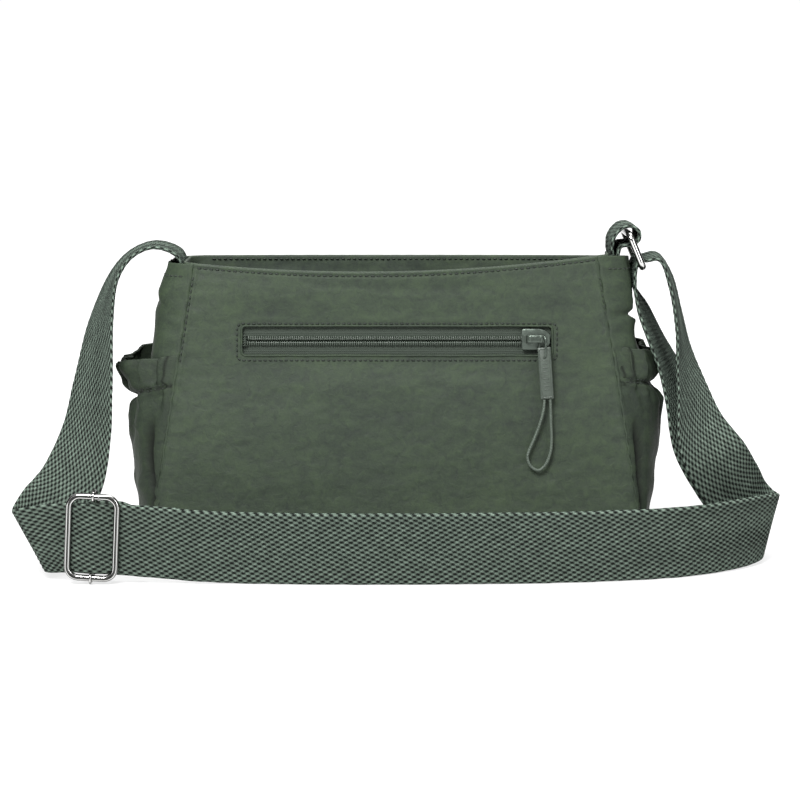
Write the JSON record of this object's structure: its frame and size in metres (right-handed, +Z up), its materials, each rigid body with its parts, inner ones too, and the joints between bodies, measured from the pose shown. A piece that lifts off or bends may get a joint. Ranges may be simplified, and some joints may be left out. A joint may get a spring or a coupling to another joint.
{
  "type": "crossbody purse",
  "caption": "Small soft nylon crossbody bag with a front zip pocket, a recessed top zip, gathered side pockets and a long flat webbing strap with ring and adjuster.",
  "frame": {"origin": "centre of the base, on the face the bag stands on", "axes": "+Z up; +X along the width, to the right when the front is seen; the front with the zip pocket faces -Y"},
  "size_m": [0.4221, 0.1479, 0.1884],
  "materials": {
    "nylon": "crinkled matt nylon",
    "nylon_inner": "matt nylon",
    "lining": "matt thin cloth",
    "webbing": "woven, matt",
    "zip_tape": "woven, matt",
    "zip_coil": "semi-matt",
    "slider_metal": "satin",
    "pull_tab": "semi-matt moulded",
    "pull_cord": "braided",
    "nickel": "polished"
  },
  "bodies": {
    "bag": {"front_panel": "nylon", "back_panel": "nylon", "left_gusset": "nylon", "right_gusset": "nylon", "left_pocket": "nylon", "right_pocket": "nylon", "front_zip_binding": "nylon", "bottom_panel": "nylon_inner", "rim_facing": "nylon_inner", "lining": "lining", "front_pocket_pouch": "lining", "left_pocket_elastic": "lining", "right_pocket_elastic": "lining", "shoulder_strap": "webbing", "shoulder_strap_return": "webbing", "ring_tab": "webbing", "front_zip_tape_upper": "zip_tape", "front_zip_tape_lower": "zip_tape", "top_zip_end_left": "zip_tape", "top_zip_end_right": "zip_tape", "front_zip_stop": "zip_tape", "front_zip_coil_upper": "zip_coil", "front_zip_coil_lower": "zip_coil"},
    "front_slider": {"front_slider_body": "slider_metal", "front_slider_bridge": "slider_metal"},
    "front_pull_link": {"front_pull_link": "slider_metal"},
    "front_pull": {"front_pull_tab": "pull_tab", "front_pull_cord": "pull_cord"},
    "top_slider": {"top_slider_body": "slider_metal", "top_slider_bridge": "slider_metal"},
    "top_pull": {"top_pull": "slider_metal"},
    "front_leaf": {"top_leaf_front": "nylon_inner", "top_zip_tape_front": "zip_tape", "top_zip_coil_front": "zip_coil"},
    "back_leaf": {"top_leaf_back": "nylon_inner", "top_zip_tape_back": "zip_tape", "top_zip_coil_back": "zip_coil"},
    "strap_ring": {"strap_ring": "nickel"},
    "adjuster_frame": {"adjuster_frame": "nickel"},
    "adjuster_bar": {"adjuster_bar": "nickel"}
  },
  "joints": [
    {"name": "front_zip_slide", "type": "slide", "parent": "bag", "child": "front_slider", "axis": [1, 0, 0], "range_m": [-0.15, 0]},
    {"name": "front_pull_lift", "type": "hinge", "parent": "front_slider", "child": "front_pull_link", "pos_m": [0.0802, -0.03843, 0.12385], "axis": [-1, 0, 0], "range_deg": [0, 150]},
    {"name": "front_pull_swing", "type": "hinge", "parent": "front_pull_link", "child": "front_pull", "pos_m": [0.0802, -0.03971, 0.11428], "axis": [0, -0.9912, 0.1322], "range_deg": [-80, 80]},
    {"name": "top_zip_slide", "type": "slide", "parent": "bag", "child": "top_slider", "axis": [1, 0, 0], "range_m": [-0.188, 0]},
    {"name": "top_pull_lift", "type": "hinge", "parent": "top_slider", "child": "top_pull", "pos_m": [0.0999, 0, 0.14975], "axis": [0, 1, 0], "range_deg": [0, 120]},
    {"name": "front_leaf_hinge", "type": "hinge", "parent": "bag", "child": "front_leaf", "pos_m": [0, -0.027, 0.1475], "axis": [-1, 0, 0], "range_deg": [0, 50]},
    {"name": "back_leaf_hinge", "type": "hinge", "parent": "bag", "child": "back_leaf", "pos_m": [0, 0.027, 0.1475], "axis": [1, 0, 0], "range_deg": [0, 50]},
    {"name": "ring_swing", "type": "hinge", "parent": "bag", "child": "strap_ring", "pos_m": [0.1288, 0, 0.1805], "axis": [0, 1, 0], "range_deg": [-20, 5], "deforming": ["shoulder_strap"]},
    {"name": "adjuster_slide", "type": "slide", "parent": "bag", "child": "adjuster_frame", "axis": [0.9998, -0.022, 0], "range_m": [0, 0.09], "deforming": ["shoulder_strap_return"]},
    {"name": "adjuster_bar_slide", "type": "slide", "parent": "adjuster_frame", "child": "adjuster_bar", "axis": [0.9984, -0.022, -0.052], "range_m": [-0.004, 0.004]}
  ]
}
